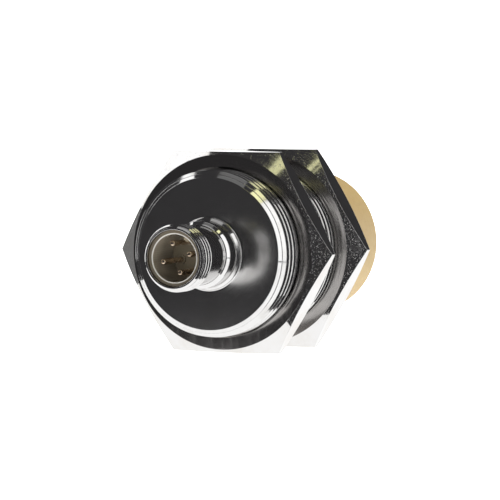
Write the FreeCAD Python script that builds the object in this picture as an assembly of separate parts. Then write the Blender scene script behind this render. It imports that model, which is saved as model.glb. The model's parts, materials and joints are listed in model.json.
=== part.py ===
import FreeCAD, Part
import math
import os

from FreeCAD import Vector

# Cylindrical M30 proximity sensor with an M12 plug at its rear.
#
# Frame: the origin is the centre of the sensing face. The sensor's axis is Y: +Y points out
# of the sensing face and the plug is at -Y. +Z is up, square to the flats on which both nuts
# rest. All sizes are in millimetres, and a station is a Y value: the distance from the
# sensing face, negative towards the plug.

# ---------------------------------------------------------------- driving dimensions

# Stations along the axis
OVERALL_LENGTH = 61.0
PLUG_LENGTH = 14.5            # plug's mouth to the flat rear face
CAP_PROUD = 15.0              # plastic cap in front of the metal tube
FLANGE_THICK = 0.5            # rear cap's flange behind the tube

# M30 x 1.5 thread of the housing tube
BARREL_R = 15.0
BARREL_ROOT_R = 14.2
BARREL_PITCH = 1.5
BARREL_BORE_R = 12.9
BARREL_FIRST_CREST = 0.7      # from the rear face
REAR_BEVEL_R = 14.25
FRONT_BEVEL_R = 14.1

# M12 x 1 plug and the collar at its root; heights are measured from the rear face
PLUG_R = 6.0
PLUG_ROOT_R = 5.45
PLUG_PITCH = 1.0
PLUG_CRESTS = 3
PLUG_FIRST_CREST = 13.3
PLUG_LEAD_R = 5.65
PLUG_END_R = 5.35
PLUG_END_CHAMFER = 0.4
NECK_R = 5.3
NECK_TOP = 4.2
COLLAR_R = 6.0
COLLAR_TOP = 3.6
COLLAR_FOOT = 0.9
HUB_R = 6.45
HUB_TOP = 0.45

# Worn, plated crests of both threads, as shares of the pitch: half the flat, then the
# shoulder's run and drop on each side of it
CREST_HALF = 0.03
SHOULDER_RUN = 0.135
SHOULDER_DROP = 0.055
FLANK_ANGLE = math.radians(30)
REAR_FACE_R = 13.63
FLANGE_R = 14.2

# Plug insert and its contact pins
RIM_POCKET_R = 5.05
RIM_POCKET_DEPTH = 1.3
RIM_R = 5.0
RIM_RECESS = 0.6
INSERT_BORE_R = 4.8
INSERT_R = 4.75
CAVITY_R = 4.2
CAVITY_DEPTH = 9.0
PIN_COUNT = 4
PIN_CIRCLE_R = 2.65
PIN_R = 0.5
PIN_RECESS = 1.2              # pin tips below the plug's mouth
FIRST_PIN_DEG = 16.0
KEY_DEG = 59.0
KEY_WIDTH = 0.9
KEY_HEIGHT = 0.6
FIT_GAP = 0.02

# Mounting nuts
NUT_FLATS = 36.0
NUT_THICK = 5.0
NUT_BORE_R = 15.05
NUT_BORE_CHAMFER = 0.25
NUT_CHAMFER_R = 17.5
NUT_CHAMFER_DEG = 30.0
REAR_NUT_FROM_REAR_FACE = 5.65
FRONT_NUT_FROM_REAR_FACE = 21.55

# Sensing cap
CAP_R = 13.2
CAP_EDGE_RADIUS = 0.9
CAP_WALL_FRONT = 1.2
CAP_BORE_R = 12.1
SKIRT_R = 12.85
SKIRT_LENGTH = 7.0

# Seals
SEAL_WIDTH = 1.3
SEAL_SQUASH = 0.02

# Sensing coil
CORE_R = 12.0
CORE_LENGTH = 8.0
CORE_POST_R = 4.5
CORE_HOLE_R = 1.5
CORE_CHANNEL_R = 10.3
CORE_CHANNEL_DEPTH = 5.0
FRONT_GAP = 0.05
BOBBIN_WALL = 0.5
WINDING_TURNS = 9
WINDING_R = 9.5
TURN_BULGE = 0.15
COIL_LEAD_R = 0.25
COIL_LEAD_X = 7.0
COIL_LEAD_Z = 2.3

# Board carrier and circuit board
CARRIER_THICK = 3.0
CARRIER_RAIL = 7.0
BOARD_WIDTH = 20.0
BOARD_LENGTH = 27.5
BOARD_THICK = 1.6
BOARD_IN_CARRIER = 1.5
BOARD_SLOT_GAP = 0.05
CONNECTOR_LEAD_R = 0.45

# ---------------------------------------------------------------- derived stations

PLUG_END = -OVERALL_LENGTH
REAR_FACE = PLUG_END + PLUG_LENGTH
TUBE_REAR = REAR_FACE + FLANGE_THICK
TUBE_FRONT = -CAP_PROUD
CORE_FRONT = -CAP_WALL_FRONT - FRONT_GAP
CORE_BACK = CORE_FRONT - CORE_LENGTH
CARRIER_FRONT = CORE_BACK - 0.1
CARRIER_BACK = CARRIER_FRONT - CARRIER_THICK
BOARD_FRONT = CARRIER_BACK + BOARD_IN_CARRIER
BOARD_BACK = BOARD_FRONT - BOARD_LENGTH
BOARD_TOP = BOARD_THICK / 2
CAP_BACK = TUBE_FRONT - SKIRT_LENGTH
SPIGOT_END = REAR_FACE + 5.5
INSERT_BACK = REAR_FACE + 3.5
PIN_BACK = REAR_FACE + 4.6
COIL_PAD_Y = CARRIER_BACK - 5.6
COIL_PAD_Z = BOARD_TOP + COIL_LEAD_R + 0.1
CONNECTOR_PAD_Y = BOARD_BACK + 3.4
CONNECTOR_PAD_Z = BOARD_TOP + CONNECTOR_LEAD_R + 0.1

AXIS = Vector(0, 1, 0)
ORIGIN = Vector(0, 0, 0)


# ---------------------------------------------------------------- shape helpers

def rounded_edges(corners, closed=True):
    """Straight edges through the corners; each corner's last value is its rounding radius."""
    count = len(corners)
    entries = []
    for index, (point, radius) in enumerate(corners):
        at_end = not closed and index in (0, count - 1)
        if not radius or at_end:
            entries.append((point, None, point))
            continue
        back = (corners[index - 1][0] - point).normalize()
        ahead = (corners[(index + 1) % count][0] - point).normalize()
        half = back.getAngle(ahead) / 2
        setback = radius / math.tan(half)
        middle = point + (back + ahead).normalize() * (radius / math.sin(half) - radius)
        entries.append((point + back * setback, middle, point + ahead * setback))
    edges = []
    for index, (start, middle, end) in enumerate(entries):
        if middle is not None:
            edges.append(Part.Arc(start, middle, end).toShape())
        if closed or index < count - 1:
            next_start = entries[(index + 1) % count][0]
            edges.append(Part.LineSegment(end, next_start).toShape())
    return edges


def turned(profile):
    """Solid of revolution about the Y axis from (radius, station[, rounding]) corners."""
    corners = [(Vector(entry[0], entry[1], 0), entry[2] if len(entry) > 2 else 0) for entry in profile]
    face = Part.Face(Part.Wire(rounded_edges(corners)))
    return face.revolve(ORIGIN, AXIS, 360)


def at_angle(shape, degrees):
    """The shape turned about the Y axis, counter-clockwise as seen from the plug's end."""
    turned_shape = shape.copy()
    turned_shape.rotate(ORIGIN, AXIS, -degrees)
    return turned_shape


def block(x_size, y_size, z_size, x, y, z):
    """Box centred on x and y, standing on z."""
    return Part.makeBox(x_size, y_size, z_size, Vector(x - x_size / 2, y - y_size / 2, z))


def y_cylinder(radius, start, end, x=0.0, z=0.0):
    """Cylinder along Y between two stations."""
    return Part.makeCylinder(radius, end - start, Vector(x, start, z), AXIS)


def wire_along(points, radius, bend):
    """Round wire along straight runs, with every corner bent to the same radius."""
    corners = [(Vector(*point), bend) for point in points]
    path = Part.Wire(rounded_edges(corners, closed=False))
    circle = Part.Wire(Part.makeCircle(radius, corners[0][0], corners[1][0] - corners[0][0]))
    return path.makePipeShell([circle], True, False)


def group(shapes):
    """Several separate solids that share one node."""
    return Part.makeCompound(shapes)


def thread_ridges(crest_r, root_r, pitch, first_crest, crests):
    """Corners of ring-shaped 60 degree thread ridges, from the first crest towards +Y."""
    shoulder_r = crest_r - SHOULDER_DROP * pitch
    half_crest = CREST_HALF * pitch
    half_shoulder = half_crest + SHOULDER_RUN * pitch
    half_base = half_shoulder + (shoulder_r - root_r) * math.tan(FLANK_ANGLE)
    rise = [(root_r, half_base), (shoulder_r, half_shoulder), (crest_r, half_crest)]
    corners = []
    for index in range(crests):
        middle = first_crest + index * pitch
        corners += [(radius, middle - half) for radius, half in rise]
        corners += [(radius, middle + half) for radius, half in reversed(rise)]
    return corners


def seal_ring(inner_r, outer_r, middle):
    """Rubber ring squashed into its groove: a rounded rectangle in section."""
    half = SEAL_WIDTH / 2 - 0.1
    rounding = 0.3
    return turned([(inner_r + SEAL_SQUASH, middle - half, rounding),
                   (outer_r - SEAL_SQUASH, middle - half, rounding),
                   (outer_r - SEAL_SQUASH, middle + half, rounding),
                   (inner_r + SEAL_SQUASH, middle + half, rounding)])


# ---------------------------------------------------------------- housing

def housing_tube():
    """Chrome-plated brass tube, threaded from end to end and bevelled at both ends."""
    crests = math.ceil((TUBE_FRONT - TUBE_REAR) / BARREL_PITCH) + 2
    first = REAR_FACE + BARREL_FIRST_CREST - BARREL_PITCH
    ridges = thread_ridges(BARREL_R, BARREL_ROOT_R, BARREL_PITCH, first, crests)
    threaded = turned([(BARREL_BORE_R, ridges[0][1])] + ridges + [(BARREL_BORE_R, ridges[-1][1])])
    oversize = BARREL_R + 1
    rear_run = (oversize - REAR_BEVEL_R) * 0.8
    front_run = oversize - FRONT_BEVEL_R
    bevelled = turned([(0, TUBE_REAR), (REAR_BEVEL_R, TUBE_REAR), (oversize, TUBE_REAR + rear_run),
                       (oversize, TUBE_FRONT - front_run), (FRONT_BEVEL_R, TUBE_FRONT),
                       (0, TUBE_FRONT)])
    return threaded.common(bevelled)


def rear_cap():
    """Turned end piece: spigot in the tube, thin flange, collar and M12 plug sleeve."""
    first_crest = REAR_FACE - PLUG_FIRST_CREST
    ridges = thread_ridges(PLUG_R, PLUG_ROOT_R, PLUG_PITCH, first_crest, PLUG_CRESTS)
    chamfer_depth = 0.45
    pocket_r = 11.0
    pocket_floor = REAR_FACE + 1.5
    boss_r = 6.2
    seal_middle = REAR_FACE + 3.2
    seal_floor = SKIRT_R - 0.85
    shoulder_r, shoulder_y = ridges[1]
    lead_end = shoulder_y - (shoulder_r - PLUG_LEAD_R) * math.tan(FLANK_ANGLE)
    profile = [(RIM_POCKET_R, PLUG_END), (PLUG_END_R, PLUG_END, 0.08),
               (PLUG_LEAD_R, PLUG_END + PLUG_END_CHAMFER), (PLUG_LEAD_R, lead_end)]
    profile += ridges[1:]
    profile += [(NECK_R, ridges[-1][1] + 0.2), (NECK_R, REAR_FACE - NECK_TOP, 0.6),
                (COLLAR_R, REAR_FACE - COLLAR_TOP, 0.1), (COLLAR_R, REAR_FACE - COLLAR_FOOT),
                (HUB_R, REAR_FACE - HUB_TOP, 0.1), (HUB_R, REAR_FACE, 0.2),
                (REAR_FACE_R, REAR_FACE, 0.05), (FLANGE_R, REAR_FACE + chamfer_depth),
                (FLANGE_R, TUBE_REAR), (SKIRT_R, TUBE_REAR),
                (SKIRT_R, seal_middle - SEAL_WIDTH / 2), (seal_floor, seal_middle - SEAL_WIDTH / 2),
                (seal_floor, seal_middle + SEAL_WIDTH / 2), (SKIRT_R, seal_middle + SEAL_WIDTH / 2),
                (SKIRT_R, SPIGOT_END - 0.3), (SKIRT_R - 0.3, SPIGOT_END), (pocket_r, SPIGOT_END),
                (pocket_r, pocket_floor), (boss_r, pocket_floor), (boss_r, INSERT_BACK - 0.3),
                (INSERT_BORE_R, INSERT_BACK - 0.3), (INSERT_BORE_R, PLUG_END + RIM_POCKET_DEPTH),
                (RIM_POCKET_R, PLUG_END + RIM_POCKET_DEPTH)]
    seal = seal_ring(seal_floor, BARREL_BORE_R, seal_middle)
    return turned(profile), seal


def sensing_cap():
    """Plastic cup over the coil, with its skirt glued and sealed inside the tube."""
    seal_middle = TUBE_FRONT - 3.0
    seal_floor = SKIRT_R - 0.45
    half = SEAL_WIDTH / 2
    cap = turned([(0, 0), (CAP_R, 0, CAP_EDGE_RADIUS), (CAP_R, TUBE_FRONT), (SKIRT_R, TUBE_FRONT),
                  (SKIRT_R, seal_middle + half), (seal_floor, seal_middle + half),
                  (seal_floor, seal_middle - half), (SKIRT_R, seal_middle - half),
                  (SKIRT_R, CAP_BACK), (CAP_BORE_R, CAP_BACK),
                  (CAP_BORE_R, -CAP_WALL_FRONT, 0.3), (0, -CAP_WALL_FRONT)])
    seal = seal_ring(seal_floor, BARREL_BORE_R, seal_middle)
    return cap, seal


# ---------------------------------------------------------------- mounting nuts

def mounting_nut(rear_side):
    """Hexagon nut with both faces chamfered, its flats facing up and down."""
    front_side = rear_side + NUT_THICK
    corner_r = NUT_FLATS / 2 / math.cos(math.radians(30))
    corners = [Vector(corner_r * math.cos(math.radians(60 * index)), rear_side,
                      corner_r * math.sin(math.radians(60 * index))) for index in range(6)]
    prism = Part.Face(Part.makePolygon(corners + corners[:1])).extrude(AXIS * NUT_THICK)
    reach = corner_r + 1
    drop = (reach - NUT_CHAMFER_R) * math.tan(math.radians(NUT_CHAMFER_DEG))
    lens = turned([(0, rear_side), (NUT_CHAMFER_R, rear_side), (reach, rear_side + drop),
                   (reach, front_side - drop), (NUT_CHAMFER_R, front_side), (0, front_side)])
    wide = NUT_BORE_R + NUT_BORE_CHAMFER
    bore = turned([(0, rear_side), (wide, rear_side), (NUT_BORE_R, rear_side + NUT_BORE_CHAMFER),
                   (NUT_BORE_R, front_side - NUT_BORE_CHAMFER), (wide, front_side),
                   (0, front_side)])
    return prism.common(lens).cut(bore)


# ---------------------------------------------------------------- plug insert and contacts

def pin_angles():
    return [FIRST_PIN_DEG + index * 360 / PIN_COUNT for index in range(PIN_COUNT)]


def pin_place(degrees):
    """X and Z of a contact pin."""
    turn = math.radians(degrees)
    return PIN_CIRCLE_R * math.cos(turn), PIN_CIRCLE_R * math.sin(turn)


def plug_insert():
    """Plastic insert: an open cup with a coding key, and a body that carries the pins."""
    mouth = PLUG_END + RIM_RECESS
    floor = PLUG_END + CAVITY_DEPTH
    seal_middle = REAR_FACE + 1.0
    seal_floor = INSERT_R - 0.75
    body = turned([(0, floor), (CAVITY_R, floor, 0.15), (CAVITY_R, mouth, 0.12),
                   (RIM_R, mouth, 0.1), (RIM_R, PLUG_END + RIM_POCKET_DEPTH),
                   (INSERT_R, PLUG_END + RIM_POCKET_DEPTH), (INSERT_R, seal_middle - SEAL_WIDTH / 2),
                   (seal_floor, seal_middle - SEAL_WIDTH / 2),
                   (seal_floor, seal_middle + SEAL_WIDTH / 2),
                   (INSERT_R, seal_middle + SEAL_WIDTH / 2), (INSERT_R, INSERT_BACK, 0.2),
                   (0, INSERT_BACK)])
    key_start = mouth + 0.6
    key = Part.makeBox(KEY_HEIGHT + 0.2, floor - key_start + 0.1, KEY_WIDTH,
                       Vector(CAVITY_R - KEY_HEIGHT, key_start, -KEY_WIDTH / 2))
    body = body.fuse(at_angle(key, KEY_DEG))
    collar_r = PIN_R + 0.35
    for degrees in pin_angles():
        x, z = pin_place(degrees)
        body = body.fuse(y_cylinder(collar_r, floor - 0.4, floor + 0.1, x, z))
    for degrees in pin_angles():
        x, z = pin_place(degrees)
        body = body.cut(y_cylinder(PIN_R + FIT_GAP, floor - 1, INSERT_BACK + 1, x, z))
    seal = seal_ring(seal_floor, INSERT_BORE_R, seal_middle)
    return body.removeSplitter(), seal


def contact_pin(degrees):
    """Gold-plated pin with a rounded tip, a stop collar and a thinner solder tail."""
    tip = PLUG_END + PIN_RECESS
    collar_r = 0.8
    collar = INSERT_BACK + FIT_GAP
    tail_r = 0.35
    pin = turned([(0, tip), (PIN_R, tip, 0.3), (PIN_R, collar), (collar_r, collar, 0.1),
                  (collar_r, collar + 0.5, 0.1), (tail_r, collar + 0.5), (tail_r, PIN_BACK),
                  (0, PIN_BACK)])
    x, z = pin_place(degrees)
    pin.translate(Vector(x, 0, z))
    return pin


# ---------------------------------------------------------------- sensing coil

def ferrite_core():
    """Pot core, open towards the sensing face, with two holes for the coil's leads."""
    channel_floor = CORE_FRONT - CORE_CHANNEL_DEPTH
    core = turned([(CORE_HOLE_R, CORE_FRONT), (CORE_POST_R, CORE_FRONT, 0.2),
                   (CORE_POST_R, channel_floor, 0.2), (CORE_CHANNEL_R, channel_floor, 0.2),
                   (CORE_CHANNEL_R, CORE_FRONT, 0.2), (CORE_R, CORE_FRONT, 0.3),
                   (CORE_R, CORE_BACK, 0.3), (CORE_HOLE_R, CORE_BACK)])
    for side in (-1, 1):
        core = core.cut(y_cylinder(3 * COIL_LEAD_R, CORE_BACK - 1, channel_floor + 1,
                                   side * COIL_LEAD_X, COIL_LEAD_Z))
    return core


def coil_bobbin():
    """Plastic bobbin in the core's channel, with notches that let the leads out."""
    front = CORE_FRONT - 0.1
    back = CORE_FRONT - CORE_CHANNEL_DEPTH + 0.1
    hub_in, hub_out, flange_r = CORE_POST_R + 0.1, CORE_POST_R + 0.8, CORE_CHANNEL_R - 0.1
    bobbin = turned([(hub_in, front), (flange_r, front), (flange_r, front - BOBBIN_WALL),
                     (hub_out, front - BOBBIN_WALL), (hub_out, back + BOBBIN_WALL),
                     (flange_r, back + BOBBIN_WALL), (flange_r, back), (hub_in, back)])
    for side in (-1, 1):
        bobbin = bobbin.cut(y_cylinder(2 * COIL_LEAD_R, back - 1, back + BOBBIN_WALL + 0.1,
                                       side * COIL_LEAD_X, COIL_LEAD_Z))
    return bobbin


def coil_winding():
    """Copper winding: one ring whose outer side shows its layers of wire."""
    start = CORE_FRONT - CORE_CHANNEL_DEPTH + 0.15 + BOBBIN_WALL
    end = CORE_FRONT - 0.15 - BOBBIN_WALL
    inner_r = CORE_POST_R + 0.85
    pitch = (end - start) / WINDING_TURNS
    edges = []
    for index in range(WINDING_TURNS):
        low = start + index * pitch
        edges.append(Part.Arc(Vector(WINDING_R, low, 0),
                              Vector(WINDING_R + TURN_BULGE, low + pitch / 2, 0),
                              Vector(WINDING_R, low + pitch, 0)).toShape())
    corners = [Vector(WINDING_R, end, 0), Vector(inner_r, end, 0), Vector(inner_r, start, 0),
               Vector(WINDING_R, start, 0)]
    edges += [Part.LineSegment(first, second).toShape()
              for first, second in zip(corners, corners[1:])]
    return Part.Face(Part.Wire(Part.__sortEdges__(edges))).revolve(ORIGIN, AXIS, 360)


def coil_lead(side):
    """One end of the winding, led back through the core and down onto the board."""
    start = CORE_FRONT - CORE_CHANNEL_DEPTH + 0.1 + BOBBIN_WALL
    x = side * COIL_LEAD_X
    return wire_along([(x, start, COIL_LEAD_Z), (x, CARRIER_BACK - 2.5, COIL_LEAD_Z),
                       (x, COIL_PAD_Y + 1.1, COIL_PAD_Z), (x, COIL_PAD_Y - 0.2, COIL_PAD_Z)],
                      COIL_LEAD_R, 0.8)


# ---------------------------------------------------------------- electronics

def board_carrier():
    """Plastic disc behind the core with two grooved rails that hold the board's edges."""
    disc = turned([(0, CARRIER_BACK), (CORE_R, CARRIER_BACK, 0.3), (CORE_R, CARRIER_FRONT, 0.3),
                   (0, CARRIER_FRONT)])
    rail_width = 1.4
    rail_height = 4.2
    rail_x = BOARD_WIDTH / 2 - 0.1
    for side in (-1, 1):
        disc = disc.fuse(block(rail_width, CARRIER_RAIL + 0.5, rail_height, side * rail_x,
                               CARRIER_BACK - CARRIER_RAIL / 2 + 0.25, -rail_height / 2))
        disc = disc.cut(y_cylinder(3 * COIL_LEAD_R, CARRIER_BACK - 1, CARRIER_FRONT + 1,
                                   side * COIL_LEAD_X, COIL_LEAD_Z))
    slot_depth = BOARD_IN_CARRIER + CARRIER_RAIL + 1
    slot = block(BOARD_WIDTH + 2 * BOARD_SLOT_GAP, slot_depth,
                 BOARD_THICK + 2 * BOARD_SLOT_GAP, 0,
                 BOARD_FRONT + BOARD_SLOT_GAP - slot_depth / 2, -BOARD_TOP - BOARD_SLOT_GAP)
    return disc.cut(slot)


def circuit_board():
    """Glass-fibre board with rounded rear corners and plated holes."""
    board = block(BOARD_WIDTH, BOARD_LENGTH, BOARD_THICK, 0, (BOARD_FRONT + BOARD_BACK) / 2,
                  -BOARD_TOP)
    rear_corners = [edge for edge in board.Edges
                    if abs(edge.BoundBox.ZLength - BOARD_THICK) < FIT_GAP
                    and abs(edge.BoundBox.YMin - BOARD_BACK) < FIT_GAP]
    board = board.makeFillet(1.5, rear_corners)
    hole_r = 0.35
    for x, offset in ((-8.0, 3.0), (8.0, 3.0), (-3.5, 12.0), (4.5, 16.0), (0.0, 20.5)):
        board = board.cut(Part.makeCylinder(hole_r, BOARD_THICK + 1,
                                            Vector(x, BOARD_BACK + offset, -BOARD_TOP - 0.5)))
    return board


def chip(body, x, y, leads_per_side, lead_pitch):
    """Moulded package on the board's top, with gull-wing leads on its two X sides."""
    x_size, y_size, z_size = body
    standoff = 0.1
    package = block(x_size, y_size, z_size, x, y, BOARD_TOP + standoff)
    package = package.makeChamfer(0.15, [edge for edge in package.Edges
                                         if edge.BoundBox.ZMin > BOARD_TOP + z_size])
    thick, reach, width = 0.2, 1.0, 0.4
    for side in (-1, 1):
        for index in range(leads_per_side):
            lead_y = y + (index - (leads_per_side - 1) / 2) * lead_pitch
            edge_x = x + side * x_size / 2
            for lead_x, lead_length, low, high in (
                    (edge_x + side * reach / 6, reach / 3 + 0.2, z_size / 2, z_size / 2 + thick),
                    (edge_x + side * reach / 3, thick, 0, z_size / 2 + thick),
                    (edge_x + side * reach * 0.65, reach * 0.7, 0, thick)):
                package = package.fuse(block(lead_length, width, high - low, lead_x, lead_y,
                                             BOARD_TOP + low))
    return package.removeSplitter()


def output_transistor(x, y):
    """Power package with a wide tab on one side and three leads on the other."""
    package = block(3.5, 6.5, 1.6, x, y, BOARD_TOP + 0.1)
    package = package.fuse(block(1.6, 3.0, 0.3, x + 2.2, y, BOARD_TOP))
    for offset in (-2.3, 0, 2.3):
        package = package.fuse(block(1.6, 0.7, 0.3, x - 2.2, y + offset, BOARD_TOP))
    return package.removeSplitter()


def small_parts(size, places, end_cap):
    """Rectangular parts with raised end caps, each a separate solid on the board."""
    x_size, y_size, z_size = size
    parts = []
    for x, y, on_top in places:
        low = BOARD_TOP if on_top else -BOARD_TOP - z_size
        part = block(x_size - 2 * end_cap, y_size - 0.06, z_size - 0.06, x, y, low + 0.03)
        for side in (-1, 1):
            part = part.fuse(block(end_cap, y_size, z_size, x + side * (x_size - end_cap) / 2, y,
                                   low))
        parts.append(part)
    return parts


def status_led():
    """Two-colour indicator at the board's rear edge, its lens facing the clear insert."""
    y = BOARD_BACK + 1.4
    base = block(3.0, 1.6, 1.2, 0, y, BOARD_TOP)
    lens = Part.makeCylinder(0.75, 2.2, Vector(-1.1, y - 0.8, BOARD_TOP + 0.6), Vector(1, 0, 0))
    behind = block(4, 4, 4, 0, y + 1.2, BOARD_TOP - 1)
    return base.fuse(lens.cut(behind)).cut(block(6, 6, 2, 0, y, BOARD_TOP - 2)).removeSplitter()


def connector_pads():
    """Board pad of each contact pin: X, and whether it is on the board's top."""
    return [(4.2, True), (-4.2, True), (-2.6, False), (2.6, False)]


def connector_lead(degrees, pad):
    """Insulated lead from a pin's solder tail to its pad on the board."""
    x, z = pin_place(degrees)
    pad_x, on_top = pad
    pad_z = CONNECTOR_PAD_Z if on_top else -CONNECTOR_PAD_Z
    gap = BOARD_BACK - PIN_BACK
    return wire_along([(x, PIN_BACK + FIT_GAP, z), (x, PIN_BACK + 0.35 * gap, z),
                       (pad_x, BOARD_BACK - 0.25 * gap, pad_z),
                       (pad_x, CONNECTOR_PAD_Y + 0.2, pad_z)], CONNECTOR_LEAD_R, 0.6)


def solder_joint(x, y, on_top, radius, height, lead_r, lead_z):
    """Solder cone on a pad of the board, grooved where the end of a lead lies in it."""
    side = 1 if on_top else -1
    cone = Part.makeCone(radius, radius * 0.45, height, Vector(x, y, side * BOARD_TOP),
                         Vector(0, 0, side))
    groove = y_cylinder(lead_r + FIT_GAP, y - 2 * radius, y + 2 * radius, x, side * lead_z)
    return cone.cut(groove)


def potting_compound(inside):
    """Epoxy that fills the housing round everything between the core and the rear cap."""
    front = CARRIER_BACK - 0.05
    back = SPIGOT_END + 0.05
    fill = turned([(0, back), (BARREL_BORE_R - FIT_GAP, back), (BARREL_BORE_R - FIT_GAP, CAP_BACK - 0.05),
                   (CAP_BORE_R - FIT_GAP, CAP_BACK - 0.05), (CAP_BORE_R - FIT_GAP, front), (0, front)])
    for shape in inside:
        fill = fill.cut(shape)
    return max(fill.Solids, key=lambda solid: solid.Volume)


# ---------------------------------------------------------------- assembly

def electronics():
    """Everything on and round the circuit board, by node name."""
    chip_y = BOARD_BACK + 18.0
    nodes = {
        "circuit_board": circuit_board(),
        "oscillator_ic": chip((3.9, 4.9, 1.5), 0, chip_y, 4, 1.27),
        "voltage_regulator": chip((2.6, 3.0, 1.1), -4.6, BOARD_BACK + 11.0, 2, 1.9),
        "output_transistor": output_transistor(3.6, BOARD_BACK + 10.0),
    }
    nodes["protection_diodes"] = group(small_parts(
        (4.4, 2.6, 2.0), [(-3.2, BOARD_BACK + 6.8, False), (3.2, BOARD_BACK + 6.8, False)], 0.6))
    nodes["chip_capacitors"] = group(small_parts(
        (3.2, 1.6, 1.2), [(x, BOARD_BACK + 11.5 + row * 3.0, False)
                          for x in (-5.5, 0.0, 5.5) for row in range(2)], 0.5))
    nodes["chip_resistors"] = group(small_parts(
        (2.0, 1.25, 0.5), [(side * 5.6, BOARD_BACK + 14.2 + row * 2.2, True)
                           for side in (-1, 1) for row in range(3)], 0.35))
    nodes["status_led"] = status_led()
    coil_leads = [coil_lead(side) for side in (-1, 1)]
    connector_leads = [connector_lead(degrees, pad)
                       for degrees, pad in zip(pin_angles(), connector_pads())]
    joints = [solder_joint(side * COIL_LEAD_X, COIL_PAD_Y, True, 0.7, 0.5, COIL_LEAD_R, COIL_PAD_Z)
              for side in (-1, 1)]
    joints += [solder_joint(x, CONNECTOR_PAD_Y, on_top, 1.0, 0.8, CONNECTOR_LEAD_R, CONNECTOR_PAD_Z)
               for x, on_top in connector_pads()]
    nodes["coil_leads"] = group(coil_leads)
    nodes["connector_leads"] = group(connector_leads)
    nodes["solder_joints"] = group(joints)
    return nodes


def build():
    cap, cap_seal = sensing_cap()
    rear, rear_seal = rear_cap()
    insert, insert_seal = plug_insert()
    nodes = {
        "housing_tube": housing_tube(),
        "rear_cap": rear,
        "rear_cap_seal": rear_seal,
        "plug_insert": insert,
        "insert_seal": insert_seal,
        "sensing_cap": cap,
        "cap_seal": cap_seal,
        "mounting_nut_rear": mounting_nut(REAR_FACE + REAR_NUT_FROM_REAR_FACE),
        "mounting_nut_front": mounting_nut(REAR_FACE + FRONT_NUT_FROM_REAR_FACE),
        "ferrite_core": ferrite_core(),
        "coil_bobbin": coil_bobbin(),
        "coil_winding": coil_winding(),
        "board_carrier": board_carrier(),
    }
    for index, degrees in enumerate(pin_angles(), start=1):
        nodes[f"contact_pin_{index}"] = contact_pin(degrees)
    nodes.update(electronics())
    inside = [shape for name, shape in nodes.items() if name in (
        "board_carrier", "circuit_board", "oscillator_ic", "voltage_regulator",
        "output_transistor", "protection_diodes", "chip_capacitors", "chip_resistors",
        "status_led", "coil_leads", "connector_leads", "solder_joints")]
    nodes["potting_compound"] = potting_compound(inside)
    return nodes


os.makedirs("parts", exist_ok=True)
for name, shape in build().items():
    shape.exportStep(f"parts/{name}.step")
    print(f"{name}: valid {shape.isValid()}, solids {len(shape.Solids)}, "
          f"volume {shape.Volume:.1f}, faces {len(shape.Faces)}")
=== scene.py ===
import json
import math

import bpy
from mathutils import Euler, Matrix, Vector


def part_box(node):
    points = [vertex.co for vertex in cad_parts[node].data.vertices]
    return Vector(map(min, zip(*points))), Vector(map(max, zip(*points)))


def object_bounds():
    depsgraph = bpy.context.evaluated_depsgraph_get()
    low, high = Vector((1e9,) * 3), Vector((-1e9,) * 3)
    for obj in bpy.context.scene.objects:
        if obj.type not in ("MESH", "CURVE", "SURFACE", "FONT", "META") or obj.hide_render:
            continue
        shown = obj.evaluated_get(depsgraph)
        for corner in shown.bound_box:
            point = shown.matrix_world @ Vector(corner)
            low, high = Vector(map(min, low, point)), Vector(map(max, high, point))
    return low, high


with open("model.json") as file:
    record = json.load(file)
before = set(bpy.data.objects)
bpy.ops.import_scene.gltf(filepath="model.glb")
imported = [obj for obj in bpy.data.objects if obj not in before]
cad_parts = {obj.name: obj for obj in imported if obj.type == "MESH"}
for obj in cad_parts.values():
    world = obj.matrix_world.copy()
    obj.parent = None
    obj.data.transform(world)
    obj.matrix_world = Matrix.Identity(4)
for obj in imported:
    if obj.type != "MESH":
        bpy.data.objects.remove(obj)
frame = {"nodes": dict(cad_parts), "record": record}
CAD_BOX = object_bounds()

# Cylindrical proximity sensor on a white table. Lengths are metres; the sensor's axis is Y,
# the plug is at -Y and the sensing face at +Y.

MM = 0.001

# Camera: angles round the sensor in degrees, distance from the point that it aims at, lens and
# sensor in millimetres
VIEW_AZIMUTH = 24.55
VIEW_ELEVATION = 3.445
VIEW_ROLL = -0.15
VIEW_DISTANCE = 0.745
VIEW_LENS = 299.1
SENSOR_WIDTH = 36.0
CLIP_START = 0.05
AIM_FROM_REAR_FACE = Vector((3.7, 9.5, 0.3)) * MM

# Table, the cove at its edge and the low white wall round it
TABLE_RADIUS = 2.6
TABLE_MIDDLE = 0.4
TABLE_SIDES = 96
TABLE_GLOW = 1.02
COVE_RADIUS = 0.25
COVE_STEPS = 8
WALL_HEIGHT = 0.50

# White card that the metal reflects as its table: level under the sensor and behind it, and
# dropping away towards the camera, so that upright faces don't see it. Right of the tube it
# starts only past the rear nut, by the notch's length
CARD_LEFT = -0.06
CARD_RIGHT = 0.12
CARD_FAR_HALF_WIDTH = 0.36
CARD_BACK = 0.60
CARD_FRONT = 0.115
CARD_SLOPE = math.tan(math.radians(9))
CARD_NOTCH = 5 * MM
CARD_GLOW = 1.38

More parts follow.
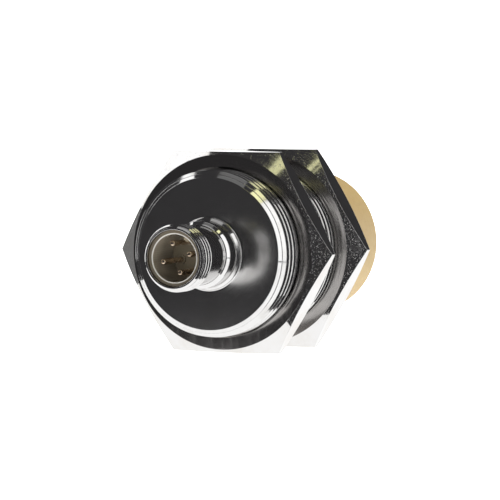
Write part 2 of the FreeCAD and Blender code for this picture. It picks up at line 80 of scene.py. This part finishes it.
# Other cards, on a sphere round the sensor: azimuths, elevations, colour and glow. They make
# the bright bands on the metal, and the gaps between them make the dark ones
WHITE = (1.0, 1.0, 1.0)
WARM = (0.80, 0.79, 0.45)
CARD_DISTANCE = 0.6
CARD_COLUMNS = 16
CARD_ROWS = 6
CARDS = {
    "back_wall": ((103, 256), (-6, 10), WHITE, 1.5),
    "right_wall": ((106, 150), (-40, 44), WHITE, 1.2),
    "side_softbox_foot": ((45, 64), (-40, -9), WHITE, 1.42),
    "side_softbox_low": ((36, 64), (-54, -40), WHITE, 1.42),
    "side_softbox_base": ((25, 64), (-68, -54), WHITE, 1.42),
    "side_softbox": ((42, 64), (-8, 33), WHITE, 1.5),
    "side_softbox_top": ((34, 64), (33, 46), WHITE, 1.5),
    "warm_border": ((16, 41), (46, 57), WARM, 1.75),
    "warm_window": ((1, 14), (42, 49), WARM, 1.2),
    "left_softbox": ((-84, -52), (12, 52), WHITE, 1.55),
    "left_wall": ((-95, -70), (-22, 11), WHITE, 0.23),
    "ceiling": ((0, 360), (72, 90), WHITE, 0.5),
    "ceiling_front": ((-45, 16), (60, 72), WHITE, 0.2),
}

# Square lamps aimed at the rear face: azimuth, elevation, distance, length of a side and watts
LAMPS = {
    "overhead": (180, 86, 1.1, 0.5, 17),
    "front_fill": (10, 20, 0.9, 0.7, 0.9),
}

# The dark room beyond the cards
SURROUND = (0.045, 0.044, 0.046)


def lowest(name):
    return Vector(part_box(name)[0])


def highest(name):
    return Vector(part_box(name)[1])


FLANGE_THICK = 0.5 * MM
TABLE_Z = CAD_BOX[0][2]
TUBE_REAR = lowest("housing_tube").y
REAR_FACE = TUBE_REAR - FLANGE_THICK


# ---------------------------------------------------------------- node-tree helpers

# Inputs of a Mix node that share their names: the factor, two numbers and two colours
MIX_FACTOR = 0
MIX_NUMBERS = (2, 3)
MIX_COLOURS = (6, 7)
MIXED_COLOUR = 2


class Finish:
    """A procedural material: one Principled shader and short calls that add nodes to it."""

    def __init__(self, name, **uniform):
        """Makes the shader; its inputs named in uniform are the same all over the surface."""
        self.material = bpy.data.materials.new(name)
        self.material.use_nodes = True
        self.tree = self.material.node_tree
        self.shader = self.tree.nodes["Principled BSDF"]
        for key, value in uniform.items():
            socket = key.replace("_", " ").title().replace("Ior", "IOR")
            self.shader.inputs[socket].default_value = value
        self.place = self.add("ShaderNodeTexCoord").outputs["Object"]

    def add(self, kind, **properties):
        node = self.tree.nodes.new(kind)
        for key, value in properties.items():
            setattr(node, key, value)
        return node

    def link(self, source, target):
        self.tree.links.new(source, target)

    def feed(self, node, socket, value):
        """Sets an input to a number, or links it to another node's output."""
        if isinstance(value, (int, float)):
            node.inputs[socket].default_value = value
        else:
            self.link(value, node.inputs[socket])

    def math(self, operation, first, second=0.0, third=0.0):
        node = self.add("ShaderNodeMath", operation=operation)
        for index, value in enumerate((first, second, third)):
            self.feed(node, index, value)
        return node.outputs[0]

    def noise(self, scale, detail=3.0, roughness=0.55, stretch=None):
        vector = self.stretched(stretch) if stretch else self.place
        node = self.add("ShaderNodeTexNoise")
        self.link(vector, node.inputs["Vector"])
        node.inputs["Scale"].default_value = scale
        node.inputs["Detail"].default_value = detail
        node.inputs["Roughness"].default_value = roughness
        return node.outputs["Fac"]

    def stretched(self, stretch):
        """The place on the object, with each coordinate multiplied by its own number."""
        node = self.add("ShaderNodeVectorMath", operation="MULTIPLY")
        self.link(self.place, node.inputs[0])
        node.inputs[1].default_value = stretch
        return node.outputs[0]

    def noise_along(self, coordinate, scale, detail=2.0):
        """Noise that changes along one coordinate only, as turning marks do."""
        node = self.add("ShaderNodeTexNoise", noise_dimensions="1D")
        self.link(coordinate, node.inputs["W"])
        node.inputs["Scale"].default_value = scale
        node.inputs["Detail"].default_value = detail
        return node.outputs["Fac"]

    def grains(self, scale):
        """Distance from the middle of the nearest grain."""
        node = self.add("ShaderNodeTexVoronoi")
        self.link(self.place, node.inputs["Vector"])
        node.inputs["Scale"].default_value = scale
        return node.outputs["Distance"]

    def ramp(self, value, over, out=(0.0, 1.0)):
        """Smooth step from out's first number to its second, while value goes over a stretch."""
        node = self.add("ShaderNodeMapRange", interpolation_type="SMOOTHSTEP")
        for socket, number in zip(("From Min", "From Max", "To Min", "To Max"), (*over, *out)):
            node.inputs[socket].default_value = number
        self.link(value, node.inputs["Value"])
        return node.outputs["Result"]

    def band(self, value, rise, fall):
        """1 between two smooth steps, each up from its first number to its second; 0 outside."""
        return self.math("MULTIPLY", self.ramp(value, rise), self.ramp(value, fall))

    def mix(self, factor, first, second):
        """Colour between first and second."""
        node = self.add("ShaderNodeMix", data_type="RGBA")
        self.feed(node, MIX_FACTOR, factor)
        for index, colour in zip(MIX_COLOURS, (first, second)):
            if isinstance(colour, tuple):
                node.inputs[index].default_value = (*colour, 1.0)
            else:
                self.link(colour, node.inputs[index])
        return node.outputs[MIXED_COLOUR]

    def mix_numbers(self, factor, first, second):
        """Number between first and second."""
        node = self.add("ShaderNodeMix", data_type="FLOAT")
        for index, value in zip((MIX_FACTOR, *MIX_NUMBERS), (factor, first, second)):
            self.link(value, node.inputs[index])
        return node.outputs[0]

    def parts_of(self, vector):
        node = self.add("ShaderNodeSeparateXYZ")
        self.link(vector, node.inputs[0])
        return node.outputs

    def axis_radius(self):
        """Distance from the sensor's axis."""
        flat = self.stretched((1.0, 0.0, 1.0))
        node = self.add("ShaderNodeVectorMath", operation="LENGTH")
        self.link(flat, node.inputs[0])
        return node.outputs["Value"]

    def facing_axis(self):
        """How squarely a surface faces along the sensor's axis: 0 on a side, 1 on an end."""
        normal = self.add("ShaderNodeNewGeometry").outputs["True Normal"]
        return self.math("ABSOLUTE", self.parts_of(normal)[1])

    def turned_coordinate(self):
        """Runs along a lathe tool's cut: along a turned side, and outwards on a turned end."""
        return self.math("ADD", self.axis_radius(), self.parts_of(self.place)[1])

    def colour(self, output):
        self.link(output, self.shader.inputs["Base Color"])

    def current_colour(self):
        return self.shader.inputs["Base Color"].links[0].from_socket

    def roughness(self, output):
        self.link(output, self.shader.inputs["Roughness"])

    def round_edges(self, radius):
        """Shades sharp edges as if they had this radius; bumps stack on it."""
        node = self.add("ShaderNodeBevel", samples=8)
        node.inputs["Radius"].default_value = radius
        self.link(node.outputs["Normal"], self.shader.inputs["Normal"])

    def bump(self, height, distance):
        """Adds a height to the surface; a second call stacks on the first."""
        node = self.add("ShaderNodeBump")
        node.inputs["Distance"].default_value = distance
        self.link(height, node.inputs["Height"])
        socket = self.shader.inputs["Normal"]
        if socket.is_linked:
            self.link(socket.links[0].from_socket, node.inputs["Normal"])
        self.link(node.outputs["Normal"], socket)


# Stretches of a noise, whose values lie round 0.5, over which a finish goes from one colour or
# roughness to another: the other in spots, in a mottle, or as often as the first
SPOTS = (0.45, 0.75)
MOTTLE = (0.4, 0.7)
CLOUDS = (0.3, 0.7)


# ---------------------------------------------------------------- metals

CHROME = (0.66, 0.655, 0.65)

# Radius left on machined edges, which catches a thin line of light
THREAD_EDGE = 0.10 * MM
NUT_EDGE = 0.06 * MM

# Where the turned rear face takes over from the hub of the plug
HUB_EDGE = (6.6 * MM, 7.0 * MM)

# How squarely the surfaces face along the axis: the turned rear face, a nut's flat end, and the
# steps into and out of a nut's chamfer
REAR_FLAT = (0.9, 0.99)
NUT_FLAT = (0.99, 0.999)
CHAMFER_RISE = (0.6, 0.8)
CHAMFER_FALL = (0.99, 0.93)


def barrel_chrome():
    """Bright plating over a cut thread: fine tool lines and a few duller patches."""
    finish = Finish("barrel_chrome", metallic=1.0)
    lines = finish.noise_along(finish.turned_coordinate(), scale=9000)
    patches = finish.noise(scale=260, detail=4)
    finish.colour(finish.mix(finish.ramp(patches, SPOTS), CHROME, (0.60, 0.59, 0.575)))
    finish.roughness(finish.math("ADD", finish.ramp(patches, MOTTLE, out=(0.05, 0.10)),
                                 finish.ramp(lines, MOTTLE, out=(0.0, 0.05))))
    finish.round_edges(THREAD_EDGE)
    finish.bump(lines, distance=0.0003 * MM)
    finish.bump(finish.noise(scale=2600, detail=2), distance=0.0004 * MM)
    return finish.material


def plug_chrome():
    """Turned rear face with circular tool marks, and a brighter plug and collar."""
    finish = Finish("plug_chrome", metallic=1.0)
    radius = finish.axis_radius()
    face = finish.math("MULTIPLY", finish.ramp(finish.facing_axis(), REAR_FLAT),
                       finish.ramp(radius, HUB_EDGE))
    lines = finish.noise_along(finish.turned_coordinate(), scale=7000, detail=4)
    patches = finish.noise(scale=220, detail=4)
    finish.colour(finish.mix(finish.ramp(patches, SPOTS), CHROME, (0.60, 0.59, 0.58)))
    smooth = finish.ramp(patches, MOTTLE, out=(0.05, 0.09))
    brushed = finish.ramp(lines, (0.35, 0.7), out=(0.16, 0.20))
    finish.roughness(finish.mix_numbers(face, smooth, brushed))
    finish.round_edges(THREAD_EDGE)
    finish.bump(lines, distance=0.00006 * MM)
    return finish.material


def nut_chrome():
    """Plated hexagon bar with fine scratches: duller end faces and pitted chamfers."""
    finish = Finish("nut_chrome", metallic=1.0)
    facing = finish.facing_axis()
    chamfer = finish.band(facing, CHAMFER_RISE, CHAMFER_FALL)
    pits = finish.ramp(finish.noise(scale=4200, detail=4, roughness=0.7), (0.60, 0.72))
    scratches = finish.noise(scale=900, stretch=(1.0, 6.0, 0.35))
    patches = finish.noise(scale=180, detail=4)
    end_face = finish.ramp(facing, NUT_FLAT)
    bright = finish.mix(finish.ramp(patches, (0.4, 0.75)), CHROME, (0.62, 0.60, 0.575))
    finish.colour(finish.mix(end_face, bright, (0.47, 0.455, 0.445)))
    dullness = finish.math("MULTIPLY_ADD", end_face, 0.09, finish.math("MULTIPLY", chamfer, 0.02))
    scratched = finish.ramp(scratches, MOTTLE, out=(0.04, 0.08))
    finish.roughness(finish.math("ADD", scratched, dullness))
    finish.round_edges(NUT_EDGE)
    finish.bump(finish.math("MULTIPLY", pits, chamfer), distance=0.008 * MM)
    finish.bump(scratches, distance=0.00015 * MM)
    return finish.material


def contact_gold():
    """Gold-plated pins, slightly worn, with fine turning marks."""
    finish = Finish("contact_gold", metallic=1.0)
    wear = finish.noise(scale=1800)
    finish.colour(finish.mix(finish.ramp(wear, MOTTLE), (0.80, 0.66, 0.50), (0.60, 0.46, 0.34)))
    finish.roughness(finish.ramp(wear, (0.35, 0.7), out=(0.16, 0.3)))
    lines = finish.noise_along(finish.parts_of(finish.place)[1], scale=12000)
    finish.bump(lines, distance=0.002 * MM)
    return finish.material


def solder():
    """Grainy, half-bright solder."""
    finish = Finish("solder", metallic=1.0)
    grain = finish.noise(scale=2200, detail=4)
    finish.colour(finish.mix(grain, (0.62, 0.62, 0.65), (0.80, 0.80, 0.82)))
    finish.roughness(finish.ramp(grain, CLOUDS, out=(0.2, 0.45)))
    finish.bump(grain, distance=0.01 * MM)
    return finish.material


def enamelled_copper():
    """Wound wire: its turns show as fine ridges of two tones."""
    finish = Finish("enamelled_copper", metallic=0.85, coat_weight=0.5)
    strand = finish.noise_along(finish.turned_coordinate(), scale=14000, detail=3)
    turns = finish.ramp(strand, (0.35, 0.65))
    finish.colour(finish.mix(turns, (0.66, 0.29, 0.12), (0.40, 0.15, 0.06)))
    finish.roughness(finish.ramp(strand, CLOUDS, out=(0.2, 0.4)))
    finish.bump(strand, distance=0.02 * MM)
    return finish.material


# ---------------------------------------------------------------- plastics and the rest

# Radii in the plug insert's face: the steps into and out of the pale ring painted round the
# contact cavity's mouth as a highlight, and where the darker rim starts
HIGHLIGHT_RING_RISE = (4.18 * MM, 4.24 * MM)
HIGHLIGHT_RING_FALL = (4.44 * MM, 4.38 * MM)
RIM_START = (4.25 * MM, 4.40 * MM)


def moulded(name, base, dark, roughness, grain=1400, depth=0.004, patches=70, **uniform):
    """Moulded plastic: a cloudy colour, a skin with a depth in mm and slightly uneven gloss."""
    finish = Finish(name, **uniform)
    cloud = finish.noise(scale=patches, detail=4)
    skin = finish.noise(scale=grain)
    finish.colour(finish.mix(finish.ramp(cloud, (0.3, 0.75)), base, dark))
    uneven = finish.ramp(skin, CLOUDS, out=(-0.04, 0.05))
    finish.roughness(finish.math("ADD", uneven, roughness))
    finish.bump(skin, distance=depth * MM)
    return finish


def cap_plastic():
    """Beige glass-filled plastic of the sensing cap, faintly specked."""
    finish = moulded("cap_plastic", (0.42, 0.308, 0.14), (0.38, 0.27, 0.121), 0.45,
                     subsurface_weight=0.08, subsurface_radius=(0.004, 0.0025, 0.001),
                     subsurface_scale=0.3, specular_ior_level=0.3)
    beyond_fleck = finish.ramp(finish.grains(scale=1500), (0.12, 0.2))
    finish.colour(finish.mix(beyond_fleck, (0.33, 0.235, 0.102), finish.current_colour()))
    return finish.material


def insert_plastic():
    """Translucent brown plastic of the plug insert, with a painted highlight and faint flow
    marks.
    """
    finish = moulded("insert_plastic", (0.31, 0.262, 0.183), (0.245, 0.20, 0.132), 0.22,
                     grain=900, depth=0.01, patches=240, transmission_weight=0.25, ior=1.6)
    radius = finish.axis_radius()
    rim = finish.math("MULTIPLY", finish.facing_axis(), finish.ramp(radius, RIM_START))
    face = finish.mix(rim, finish.current_colour(), (0.15, 0.125, 0.09))
    # Painted highlight: a pale ring of colour round the mouth of the contact cavity
    painted_highlight_ring = finish.band(radius, HIGHLIGHT_RING_RISE, HIGHLIGHT_RING_FALL)
    finish.colour(finish.mix(painted_highlight_ring, face, (0.62, 0.60, 0.55)))
    finish.bump(finish.noise(scale=420, stretch=(1.0, 0.2, 1.0)), distance=0.03 * MM)
    return finish.material


def board_laminate():
    """Green solder mask with the copper tracks showing faintly through it."""
    finish = Finish("board_laminate", coat_weight=0.4)
    tracks = finish.add("ShaderNodeTexBrick")
    finish.link(finish.place, tracks.inputs["Vector"])
    for socket, value in (("Scale", 260.0), ("Mortar Size", 0.06), ("Brick Width", 1.6)):
        tracks.inputs[socket].default_value = value
    copper = tracks.outputs["Fac"]
    finish.colour(finish.mix(copper, (0.018, 0.15, 0.055), (0.05, 0.27, 0.10)))
    finish.roughness(finish.ramp(finish.noise(scale=800), CLOUDS, out=(0.22, 0.38)))
    finish.bump(copper, distance=0.03 * MM)
    return finish.material


def chip_ceramic(name, first, second):
    """Fired ceramic of a chip part, mottled in two tones."""
    finish = Finish(name)
    tone = finish.noise(scale=2600)
    finish.colour(finish.mix(finish.ramp(tone, (0.35, 0.7)), first, second))
    finish.roughness(finish.ramp(tone, CLOUDS, out=(0.25, 0.5)))
    finish.bump(tone, distance=0.006 * MM)
    return finish.material


# The record's material slots: those with a function of the same name, and tables of looks
OWN_FUNCTION = (barrel_chrome, plug_chrome, nut_chrome, contact_gold, solder, enamelled_copper,
                cap_plastic, insert_plastic, board_laminate)

MOULDED = {
    "seal_rubber": {"base": (0.02, 0.02, 0.02), "dark": (0.035, 0.034, 0.033),
                    "roughness": 0.6, "grain": 2400, "depth": 0.01},
    "ferrite": {"base": (0.06, 0.06, 0.065), "dark": (0.10, 0.095, 0.09),
                "roughness": 0.55, "grain": 3200, "depth": 0.02, "patches": 600},
    "bobbin_plastic": {"base": (0.72, 0.69, 0.58), "dark": (0.62, 0.58, 0.46),
                       "roughness": 0.42, "subsurface_weight": 0.1},
    "carrier_plastic": {"base": (0.02, 0.02, 0.022), "dark": (0.035, 0.035, 0.037),
                        "roughness": 0.5},
    "package_black": {"base": (0.018, 0.018, 0.02), "dark": (0.03, 0.03, 0.031),
                      "roughness": 0.55, "grain": 5000},
    "diode_black": {"base": (0.022, 0.022, 0.024), "dark": (0.04, 0.04, 0.042),
                    "roughness": 0.45, "grain": 4200},
    "led_lens": {"base": (0.85, 0.52, 0.16), "dark": (0.9, 0.62, 0.25),
                 "roughness": 0.15, "patches": 900, "transmission_weight": 0.3},
    "lead_insulation": {"base": (0.28, 0.11, 0.045), "dark": (0.22, 0.08, 0.03),
                        "roughness": 0.4},
    "epoxy": {"base": (0.035, 0.03, 0.025), "dark": (0.05, 0.043, 0.035),
              "roughness": 0.25, "depth": 0.02, "patches": 120},
}

CERAMICS = {
    "capacitor_ceramic": ((0.38, 0.26, 0.15), (0.45, 0.33, 0.2)),
    "resistor_ceramic": ((0.03, 0.03, 0.035), (0.06, 0.06, 0.07)),
}


def make_materials():
    made = {make.__name__: make() for make in OWN_FUNCTION}
    for slot, look in MOULDED.items():
        made[slot] = moulded(slot, **look).material
    for slot, tones in CERAMICS.items():
        made[slot] = chip_ceramic(slot, *tones)
    return made


def dress_nodes():
    """Gives every CAD node the procedural material of its slot in the record."""
    made = make_materials()
    for part in frame["record"]["subparts"]:
        node = frame["nodes"][part["node"]]
        node.data.materials.clear()
        node.data.materials.append(made[part["material_slot"]])


# ---------------------------------------------------------------- stage, light and camera

def table_white():
    """Matt, faintly cloudy white that glows enough to be white to the table's edge."""
    finish = Finish("table_white", roughness=0.6, emission_color=(*WHITE, 1.0),
                    emission_strength=TABLE_GLOW)
    cloud = finish.noise(scale=6)
    finish.colour(finish.mix(cloud, (0.95, 0.95, 0.95), (0.935, 0.935, 0.935)))
    return finish.material


def make_table():
    """Round white table that turns up through a cove into a low white wall."""
    cove_start = TABLE_RADIUS - COVE_RADIUS
    profile = [(TABLE_MIDDLE, 0.0), (cove_start, 0.0)]
    for step in range(1, COVE_STEPS + 1):
        turn = math.radians(90 * step / COVE_STEPS)
        profile.append((cove_start + COVE_RADIUS * math.sin(turn),
                        COVE_RADIUS * (1 - math.cos(turn))))
    profile.append((TABLE_RADIUS, WALL_HEIGHT))
    sides = range(TABLE_SIDES)
    vertices = [(0.0, 0.0, TABLE_Z)]
    for radius, height in profile:
        vertices += [(radius * math.cos(math.tau * side / TABLE_SIDES),
                      radius * math.sin(math.tau * side / TABLE_SIDES), TABLE_Z + height)
                     for side in sides]
    after = [(side + 1) % TABLE_SIDES for side in sides]
    faces = [(0, 1 + side, 1 + after[side]) for side in sides]
    for ring in range(len(profile) - 1):
        low, high = 1 + ring * TABLE_SIDES, 1 + (ring + 1) * TABLE_SIDES
        faces += [(low + side, high + side, high + after[side], low + after[side])
                  for side in sides]
    mesh = bpy.data.meshes.new("table")
    mesh.from_pydata(vertices, [], faces)
    mesh.shade_smooth()
    table = bpy.data.objects.new("table", mesh)
    table.data.materials.append(table_white())
    table.visible_glossy = False
    bpy.context.collection.objects.link(table)


def around_sensor(azimuth, elevation, distance):
    """A place seen from the sensor's rear face: azimuth 0 is behind the plug, 90 at +X."""
    turn, rise = math.radians(azimuth), math.radians(elevation)
    return Vector((math.cos(rise) * math.sin(turn), -math.cos(rise) * math.cos(turn),
                   math.sin(rise))) * distance + Vector((0, REAR_FACE, 0))


def show_in_reflections(name, vertices, faces, colour, glow):
    """Glowing card, seen only in reflections and through clear plastic."""
    mesh = bpy.data.meshes.new(name)
    mesh.from_pydata(vertices, [], faces)
    card = bpy.data.objects.new(name, mesh)
    glowing = Finish(name, base_color=(0.0, 0.0, 0.0, 1.0), roughness=1.0,
                     specular_ior_level=0.0, emission_color=(*colour, 1.0),
                     emission_strength=glow)
    card.data.materials.append(glowing.material)
    card.visible_camera = False
    card.visible_diffuse = False
    card.visible_shadow = False
    bpy.context.collection.objects.link(card)


def make_curved_card(name, azimuths, elevations, colour, glow):
    """Card on the sphere round the sensor."""
    def between(ends, share):
        return ends[0] + (ends[1] - ends[0]) * share

    vertices = [around_sensor(between(azimuths, column / CARD_COLUMNS),
                              between(elevations, row / CARD_ROWS), CARD_DISTANCE)
                for row in range(CARD_ROWS + 1) for column in range(CARD_COLUMNS + 1)]
    row_length = CARD_COLUMNS + 1
    corners = [row * row_length + column
               for row in range(CARD_ROWS) for column in range(CARD_COLUMNS)]
    faces = [(corner, corner + 1, corner + row_length + 1, corner + row_length)
             for corner in corners]
    show_in_reflections(name, vertices, faces, colour, glow)


def make_bright_floor():
    """White card just under the sensor, which its lower surfaces reflect."""
    notch_x = highest("housing_tube").x
    notch_y = highest("mounting_nut_rear").y + CARD_NOTCH
    rows = [(TUBE_REAR - CARD_FRONT, TABLE_Z - CARD_FRONT * CARD_SLOPE, CARD_LEFT, notch_x),
            (TUBE_REAR, TABLE_Z, CARD_LEFT, notch_x), (notch_y, TABLE_Z, CARD_LEFT, notch_x),
            (notch_y, TABLE_Z, CARD_LEFT, CARD_RIGHT),
            (CARD_BACK, TABLE_Z, -CARD_FAR_HALF_WIDTH, CARD_FAR_HALF_WIDTH)]
    corners = [(x, y, z) for y, z, low_x, high_x in rows for x in (low_x, high_x)]
    strips = [(first, first + 1, first + 3, first + 2) for first in (0, 2, 6)]
    show_in_reflections("bright_floor", corners, strips, WHITE, CARD_GLOW)


def make_lamp(name, azimuth, elevation, distance, side, power):
    data = bpy.data.lights.new(name, "AREA")
    data.shape = "RECTANGLE"
    data.size = side
    data.size_y = side
    data.energy = power
    lamp = bpy.data.objects.new(name, data)
    lamp.location = around_sensor(azimuth, elevation, distance)
    towards = Vector((0, REAR_FACE, 0)) - lamp.location
    lamp.rotation_euler = towards.to_track_quat("-Z", "Y").to_euler()
    lamp.visible_glossy = False
    bpy.context.collection.objects.link(lamp)


def make_studio():
    make_table()
    make_bright_floor()
    world = bpy.data.worlds.new("studio")
    world.use_nodes = True
    world.node_tree.nodes["Background"].inputs["Color"].default_value = (*SURROUND, 1.0)
    bpy.context.scene.world = world
    for name, card in CARDS.items():
        make_curved_card(name, *card)
    for name, lamp in LAMPS.items():
        make_lamp(name, *lamp)


def make_camera():
    turn, rise = math.radians(VIEW_AZIMUTH), math.radians(-VIEW_ELEVATION)
    forward = Vector((-math.sin(turn) * math.cos(rise), math.cos(turn) * math.cos(rise),
                      math.sin(rise)))
    data = bpy.data.cameras.new("camera")
    data.sensor_width = SENSOR_WIDTH
    data.lens = VIEW_LENS
    data.clip_start = CLIP_START
    camera = bpy.data.objects.new("camera", data)
    camera.location = Vector((0, REAR_FACE, 0)) + AIM_FROM_REAR_FACE - forward * VIEW_DISTANCE
    camera.rotation_euler = Euler((math.pi / 2 + rise, math.radians(VIEW_ROLL), turn))
    bpy.context.collection.objects.link(camera)
    bpy.context.scene.camera = camera


dress_nodes()
make_studio()
make_camera()
bpy.context.scene.view_settings.view_transform = "Standard"
